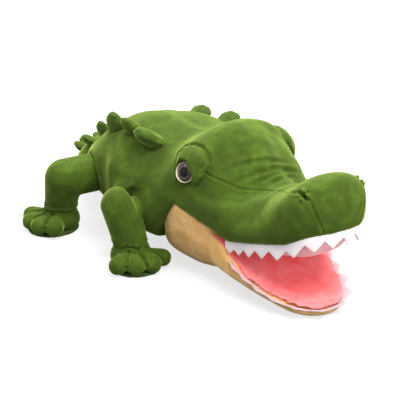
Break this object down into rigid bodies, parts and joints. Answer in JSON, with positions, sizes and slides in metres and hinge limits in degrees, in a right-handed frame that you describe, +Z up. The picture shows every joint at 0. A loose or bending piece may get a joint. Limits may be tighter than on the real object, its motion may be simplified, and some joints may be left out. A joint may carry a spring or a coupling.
{
  "type": "plush crocodile",
  "caption": "Stuffed plush crocodile standing on four paws, mouth open, with felt teeth, sewn spines, a curling tail, and a jaw, legs and tail that flex and spring back.",
  "frame": {"origin": "on the floor, under the middle of the toy's bounding box", "axes": "+X forwards along the toy, towards the snout; +Y to the toy's left; +Z up"},
  "size_m": [0.6396, 0.3502, 0.1889],
  "materials": {
    "green_plush": "short crushed pile, matt with a soft sheen at the edges",
    "dark_green_plush": "short pile, pressed flat under the feet",
    "tan_plush": "short pile, matt",
    "coral_plush": "short pile, matt",
    "pale_pink_plush": "short pile, matt",
    "white_felt": "cut felt, matt",
    "eye_plastic": "polished, dark",
    "ring_plastic": "moulded, satin",
    "washer_plastic": "moulded, satin"
  },
  "bodies": {
    "torso": {"trunk": "green_plush", "belly": "tan_plush", "head": "green_plush", "throat": "tan_plush", "palate": "pale_pink_plush", "upper_teeth": "white_felt", "brow_right": "green_plush", "brow_left": "green_plush", "eye_right": "eye_plastic", "eye_left": "eye_plastic", "eye_ring_right": "ring_plastic", "eye_ring_left": "ring_plastic", "eye_washer_right": "washer_plastic", "eye_washer_left": "washer_plastic", "back_spine_right_1": "green_plush", "back_spine_right_2": "green_plush", "back_spine_right_3": "green_plush", "back_spine_right_4": "green_plush", "back_spine_left_1": "green_plush", "back_spine_left_2": "green_plush", "back_spine_left_3": "green_plush"},
    "jaw": {"lower_jaw": "tan_plush", "jaw_lining": "coral_plush", "lower_teeth": "white_felt"},
    "front_right_limb": {"front_right_leg": "green_plush", "front_right_foot": "green_plush", "front_right_sole": "dark_green_plush"},
    "front_left_limb": {"front_left_leg": "green_plush", "front_left_foot": "green_plush", "front_left_sole": "dark_green_plush"},
    "rear_right_limb": {"rear_right_leg": "green_plush", "rear_right_foot": "green_plush", "rear_right_sole": "dark_green_plush"},
    "rear_left_limb": {"rear_left_leg": "green_plush", "rear_left_foot": "green_plush", "rear_left_sole": "dark_green_plush"},
    "tail_end": {"tail": "green_plush", "tail_underside": "tan_plush", "tail_spine_right_1": "green_plush", "tail_spine_right_2": "green_plush", "tail_spine_right_3": "green_plush", "tail_spine_right_4": "green_plush", "tail_spine_right_5": "green_plush", "tail_spine_left_1": "green_plush", "tail_spine_left_2": "green_plush", "tail_spine_left_3": "green_plush", "tail_spine_left_4": "green_plush", "tail_spine_left_5": "green_plush"}
  },
  "joints": [
    {"name": "jaw_hinge", "type": "hinge", "parent": "torso", "child": "jaw", "pos_m": [0.16976, -0.00033, 0.048], "axis": [0, -1, 0], "range_deg": [-5, 20], "stiffness_Nm_per_rad": 0.6},
    {"name": "front_right_leg_swing", "type": "hinge", "parent": "torso", "child": "front_right_limb", "pos_m": [0.03775, -0.07633, 0.076], "axis": [0, 1, 0], "range_deg": [-15, 15], "stiffness_Nm_per_rad": 0.6},
    {"name": "front_left_leg_swing", "type": "hinge", "parent": "torso", "child": "front_left_limb", "pos_m": [0.03775, 0.07567, 0.076], "axis": [0, 1, 0], "range_deg": [-15, 15], "stiffness_Nm_per_rad": 0.6},
    {"name": "rear_right_leg_swing", "type": "hinge", "parent": "torso", "child": "rear_right_limb", "pos_m": [-0.09225, -0.07033, 0.073], "axis": [0, 1, 0], "range_deg": [-20, 20], "stiffness_Nm_per_rad": 0.6},
    {"name": "rear_left_leg_swing", "type": "hinge", "parent": "torso", "child": "rear_left_limb", "pos_m": [-0.09225, 0.06967, 0.073], "axis": [0, 1, 0], "range_deg": [-20, 20], "stiffness_Nm_per_rad": 0.6},
    {"name": "tail_sway", "type": "hinge", "parent": "torso", "child": "tail_end", "pos_m": [-0.13525, -0.00033, 0.064], "axis": [0, 0, 1], "range_deg": [-20, 20], "stiffness_Nm_per_rad": 0.6}
  ]
}
